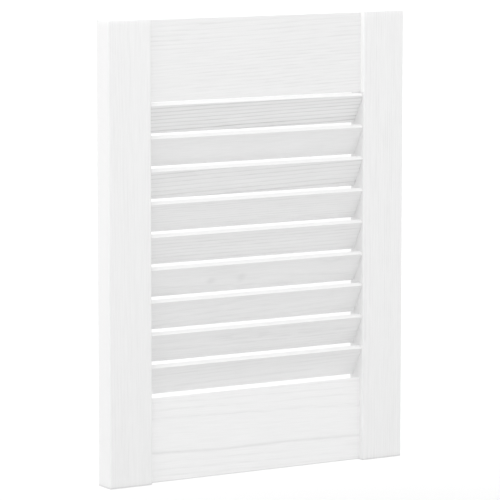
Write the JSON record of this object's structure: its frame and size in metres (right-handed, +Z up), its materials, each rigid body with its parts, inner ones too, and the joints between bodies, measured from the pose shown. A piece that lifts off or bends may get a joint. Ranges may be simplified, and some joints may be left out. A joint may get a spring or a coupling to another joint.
{
  "type": "louvred cabinet door",
  "caption": "Small white-painted pine cabinet door leaf: square-edged frame of stiles and set-back rails, filled with fixed louvres that slope down towards the back.",
  "frame": {"origin": "on the hinge edge of the left stile, at mid height and mid thickness", "axes": "+X across the leaf from the hinge edge to the closing edge, +Y from the front to the back, +Z up"},
  "size_m": [0.294, 0.021, 0.395],
  "materials": {
    "painted_stile": "white satin paint over planed pine",
    "painted_rail": "white satin paint over planed pine",
    "painted_louvre": "white satin paint over pine with open grain"
  },
  "bodies": {
    "root": {"left_stile": "painted_stile", "right_stile": "painted_stile", "top_rail": "painted_rail", "bottom_rail": "painted_rail", "louvre_1": "painted_louvre", "louvre_2": "painted_louvre", "louvre_3": "painted_louvre", "louvre_4": "painted_louvre", "louvre_5": "painted_louvre", "louvre_6": "painted_louvre", "louvre_7": "painted_louvre", "louvre_8": "painted_louvre", "louvre_9": "painted_louvre"}
  },
  "joints": []
}
